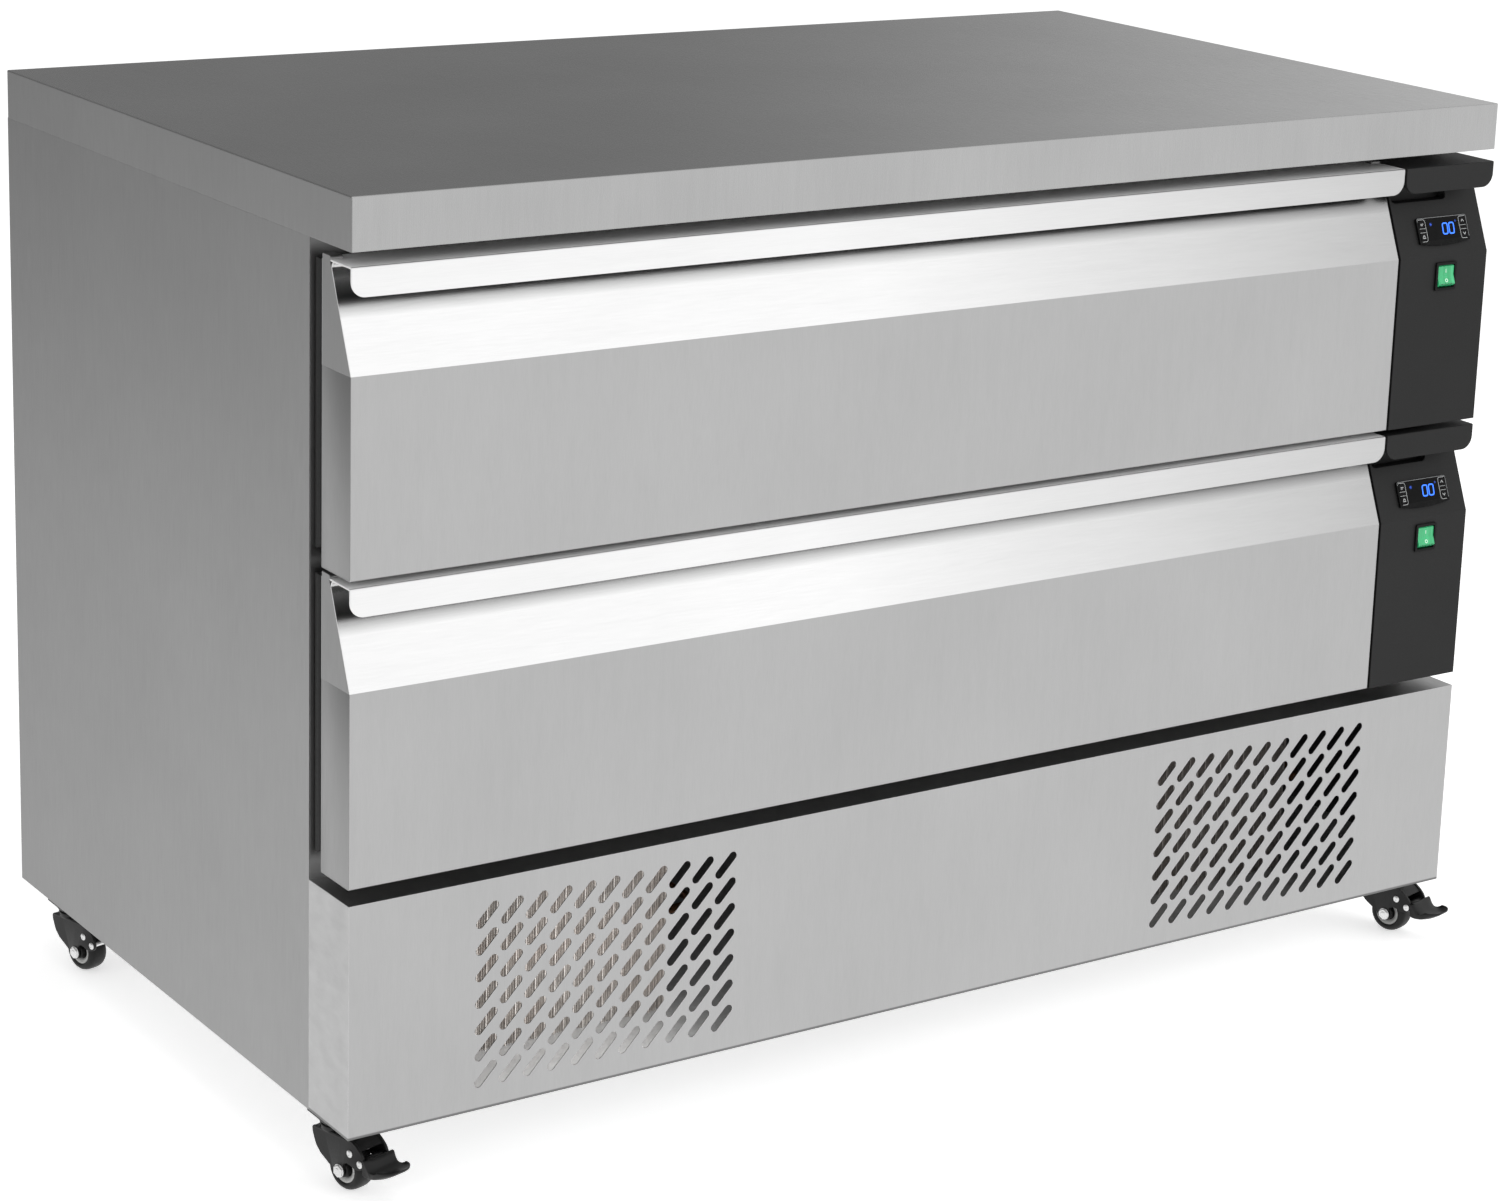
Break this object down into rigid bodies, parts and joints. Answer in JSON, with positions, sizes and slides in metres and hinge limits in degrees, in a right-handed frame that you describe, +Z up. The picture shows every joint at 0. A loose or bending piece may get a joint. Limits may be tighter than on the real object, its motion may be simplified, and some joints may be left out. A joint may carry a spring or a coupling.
{
  "type": "refrigerated drawer counter",
  "caption": "Stainless refrigerated counter with stacked wide drawers, side control consoles, vented base and swivel castors",
  "frame": {"origin": "on the floor, under the middle of the outer box", "axes": "+X to the right seen from the front, along the longest side; +Y from the drawer fronts to the back; +Z up"},
  "size_m": [1.257, 0.7338, 0.87],
  "materials": {
    "stainless": "satin stainless steel, brushed",
    "inner_steel": "plain satin sheet inside the cabinet",
    "zinc_sheet": "zinc plated sheet, dull",
    "slide_steel": "bright zinc plated steel",
    "foam": "rigid insulation foam, pale yellow",
    "console_plastic": "black moulded plastic, fine grain",
    "control_plastic": "black glossy plastic",
    "key_plastic": "black keys",
    "switch_black": "black switch frame",
    "green_lens": "green lit rocker",
    "seal": "black magnetic seal",
    "pot_black": "black enamel",
    "fins": "aluminium fins",
    "fan_frame": "grey painted fan frame and motor",
    "fan_blade": "pressed aluminium",
    "copper": "copper tube",
    "castor_metal": "zinc plated castor plate",
    "castor_black": "black castor yoke and pedal",
    "wheel": "black tread on a pale rim",
    "screw": "bright screws",
    "gland": "black nylon"
  },
  "bodies": {
    "cabinet": {"worktop_skin": "stainless", "side_panels": "stainless", "back_panel": "zinc_sheet", "insulation_foam": "foam", "compartment_liners": "inner_steel", "inner_sheet_frame": "inner_steel", "base_pan": "zinc_sheet", "base_front_panel": "stainless", "consoles": "console_plastic", "thermostats": "control_plastic", "switch_housings": "switch_black", "compressors": "pot_black", "condensers": "fins", "fan_motors": "fan_frame", "evaporators": "fins", "refrigerant_pipes": "copper", "slide_outer_members": "slide_steel", "castor_plates": "castor_metal", "panel_screws": "screw", "cord_gland": "gland"},
    "upper_drawer": {"upper_drawer_skin": "stainless", "upper_drawer_end_caps": "stainless", "upper_drawer_foam": "foam", "upper_drawer_back_panel": "inner_steel", "upper_gasket": "seal", "upper_bin": "inner_steel", "upper_slide_inner": "slide_steel"},
    "upper_slide_middles": {"upper_slide_middle": "slide_steel"},
    "upper_switch_rocker": {"upper_rocker": "green_lens"},
    "upper_set_button": {"upper_key_set": "key_plastic"},
    "upper_light_button": {"upper_key_light": "key_plastic"},
    "upper_up_button": {"upper_key_up": "key_plastic"},
    "upper_down_button": {"upper_key_down": "key_plastic"},
    "lower_drawer": {"lower_drawer_skin": "stainless", "lower_drawer_end_caps": "stainless", "lower_drawer_foam": "foam", "lower_drawer_back_panel": "inner_steel", "lower_gasket": "seal", "lower_bin": "inner_steel", "lower_slide_inner": "slide_steel"},
    "lower_slide_middles": {"lower_slide_middle": "slide_steel"},
    "lower_switch_rocker": {"lower_rocker": "green_lens"},
    "lower_set_button": {"lower_key_set": "key_plastic"},
    "lower_light_button": {"lower_key_light": "key_plastic"},
    "lower_up_button": {"lower_key_up": "key_plastic"},
    "lower_down_button": {"lower_key_down": "key_plastic"},
    "left_condenser_fan": {"left_condenser_blades": "fan_blade"},
    "right_condenser_fan": {"right_condenser_blades": "fan_blade"},
    "upper_evaporator_fan": {"upper_evaporator_blades": "fan_blade"},
    "lower_evaporator_fan": {"lower_evaporator_blades": "fan_blade"},
    "front_left_castor_fork": {"front_left_fork": "castor_black"},
    "front_left_castor_wheel": {"front_left_wheel": "wheel"},
    "front_left_brake": {"front_left_pedal": "castor_black"},
    "front_right_castor_fork": {"front_right_fork": "castor_black"},
    "front_right_castor_wheel": {"front_right_wheel": "wheel"},
    "front_right_brake": {"front_right_pedal": "castor_black"},
    "back_left_castor_fork": {"back_left_fork": "castor_black"},
    "back_left_castor_wheel": {"back_left_wheel": "wheel"},
    "back_right_castor_fork": {"back_right_fork": "castor_black"},
    "back_right_castor_wheel": {"back_right_wheel": "wheel"}
  },
  "joints": [
    {"name": "upper_drawer_slide", "type": "slide", "parent": "cabinet", "child": "upper_drawer", "axis": [0, -1, 0], "range_m": [0, 0.5]},
    {"name": "upper_slide_extend", "type": "slide", "parent": "cabinet", "child": "upper_slide_middles", "axis": [0, -1, 0], "range_m": [0, 0.25]},
    {"name": "upper_rocker_tilt", "type": "hinge", "parent": "cabinet", "child": "upper_switch_rocker", "pos_m": [0.56228, -0.34511, 0.703], "axis": [1, 0, 0], "range_deg": [0, 20]},
    {"name": "upper_set_press", "type": "slide", "parent": "cabinet", "child": "upper_set_button", "axis": [0, 0.9248, -0.3805], "range_m": [0, 0.0005], "stiffness_N_per_m": 800, "springref_m": -0.0002},
    {"name": "upper_light_press", "type": "slide", "parent": "cabinet", "child": "upper_light_button", "axis": [0, 0.9248, -0.3805], "range_m": [0, 0.0005], "stiffness_N_per_m": 800, "springref_m": -0.0002},
    {"name": "upper_up_press", "type": "slide", "parent": "cabinet", "child": "upper_up_button", "axis": [0, 0.9248, -0.3805], "range_m": [0, 0.0005], "stiffness_N_per_m": 800, "springref_m": -0.0002},
    {"name": "upper_down_press", "type": "slide", "parent": "cabinet", "child": "upper_down_button", "axis": [0, 0.9248, -0.3805], "range_m": [0, 0.0005], "stiffness_N_per_m": 800, "springref_m": -0.0002},
    {"name": "lower_drawer_slide", "type": "slide", "parent": "cabinet", "child": "lower_drawer", "axis": [0, -1, 0], "range_m": [0, 0.5]},
    {"name": "lower_slide_extend", "type": "slide", "parent": "cabinet", "child": "lower_slide_middles", "axis": [0, -1, 0], "range_m": [0, 0.25]},
    {"name": "lower_rocker_tilt", "type": "hinge", "parent": "cabinet", "child": "lower_switch_rocker", "pos_m": [0.56228, -0.34511, 0.438], "axis": [1, 0, 0], "range_deg": [0, 20]},
    {"name": "lower_set_press", "type": "slide", "parent": "cabinet", "child": "lower_set_button", "axis": [0, 0.9248, -0.3805], "range_m": [0, 0.0005], "stiffness_N_per_m": 800, "springref_m": -0.0002},
    {"name": "lower_light_press", "type": "slide", "parent": "cabinet", "child": "lower_light_button", "axis": [0, 0.9248, -0.3805], "range_m": [0, 0.0005], "stiffness_N_per_m": 800, "springref_m": -0.0002},
    {"name": "lower_up_press", "type": "slide", "parent": "cabinet", "child": "lower_up_button", "axis": [0, 0.9248, -0.3805], "range_m": [0, 0.0005], "stiffness_N_per_m": 800, "springref_m": -0.0002},
    {"name": "lower_down_press", "type": "slide", "parent": "cabinet", "child": "lower_down_button", "axis": [0, 0.9248, -0.3805], "range_m": [0, 0.0005], "stiffness_N_per_m": 800, "springref_m": -0.0002},
    {"name": "left_condenser_fan_spin", "type": "hinge", "parent": "cabinet", "child": "left_condenser_fan", "pos_m": [-0.37747, -0.18511, 0.1475], "axis": [0, 1, 0], "continuous": true},
    {"name": "right_condenser_fan_spin", "type": "hinge", "parent": "cabinet", "child": "right_condenser_fan", "pos_m": [0.36553, -0.18511, 0.1475], "axis": [0, 1, 0], "continuous": true},
    {"name": "upper_evaporator_fan_spin", "type": "hinge", "parent": "cabinet", "child": "upper_evaporator_fan", "pos_m": [0.18403, 0.24689, 0.672], "axis": [0, 1, 0], "continuous": true},
    {"name": "lower_evaporator_fan_spin", "type": "hinge", "parent": "cabinet", "child": "lower_evaporator_fan", "pos_m": [0.18403, 0.24689, 0.407], "axis": [0, 1, 0], "continuous": true},
    {"name": "front_left_swivel", "type": "hinge", "parent": "cabinet", "child": "front_left_castor_fork", "pos_m": [-0.60647, -0.28911, 0.0567], "axis": [0, 0, 1], "continuous": true},
    {"name": "front_left_roll", "type": "hinge", "parent": "front_left_castor_fork", "child": "front_left_castor_wheel", "pos_m": [-0.60207, -0.30553, 0.02], "axis": [0.9659, 0.2588, 0], "continuous": true},
    {"name": "front_left_brake_lift", "type": "hinge", "parent": "front_left_castor_fork", "child": "front_left_brake", "pos_m": [-0.59534, -0.33064, 0.034], "axis": [-0.9659, -0.2588, 0], "range_deg": [0, 18]},
    {"name": "front_right_swivel", "type": "hinge", "parent": "cabinet", "child": "front_right_castor_fork", "pos_m": [0.59453, -0.28911, 0.0567], "axis": [0, 0, 1], "continuous": true},
    {"name": "front_right_roll", "type": "hinge", "parent": "front_right_castor_fork", "child": "front_right_castor_wheel", "pos_m": [0.59893, -0.30553, 0.02], "axis": [0.9659, 0.2588, 0], "continuous": true},
    {"name": "front_right_brake_lift", "type": "hinge", "parent": "front_right_castor_fork", "child": "front_right_brake", "pos_m": [0.60566, -0.33064, 0.034], "axis": [-0.9659, -0.2588, 0], "range_deg": [0, 18]},
    {"name": "back_left_swivel", "type": "hinge", "parent": "cabinet", "child": "back_left_castor_fork", "pos_m": [-0.60647, 0.27089, 0.0567], "axis": [0, 0, 1], "continuous": true},
    {"name": "back_left_roll", "type": "hinge", "parent": "back_left_castor_fork", "child": "back_left_castor_wheel", "pos_m": [-0.60207, 0.25447, 0.02], "axis": [0.9659, 0.2588, 0], "continuous": true},
    {"name": "back_right_swivel", "type": "hinge", "parent": "cabinet", "child": "back_right_castor_fork", "pos_m": [0.59453, 0.27089, 0.0567], "axis": [0, 0, 1], "continuous": true},
    {"name": "back_right_roll", "type": "hinge", "parent": "back_right_castor_fork", "child": "back_right_castor_wheel", "pos_m": [0.59893, 0.25447, 0.02], "axis": [0.9659, 0.2588, 0], "continuous": true}
  ],
  "couplings": [
    {"joint": "upper_slide_extend", "follows": "upper_drawer_slide", "ratio": 0.5},
    {"joint": "lower_slide_extend", "follows": "lower_drawer_slide", "ratio": 0.5}
  ]
}
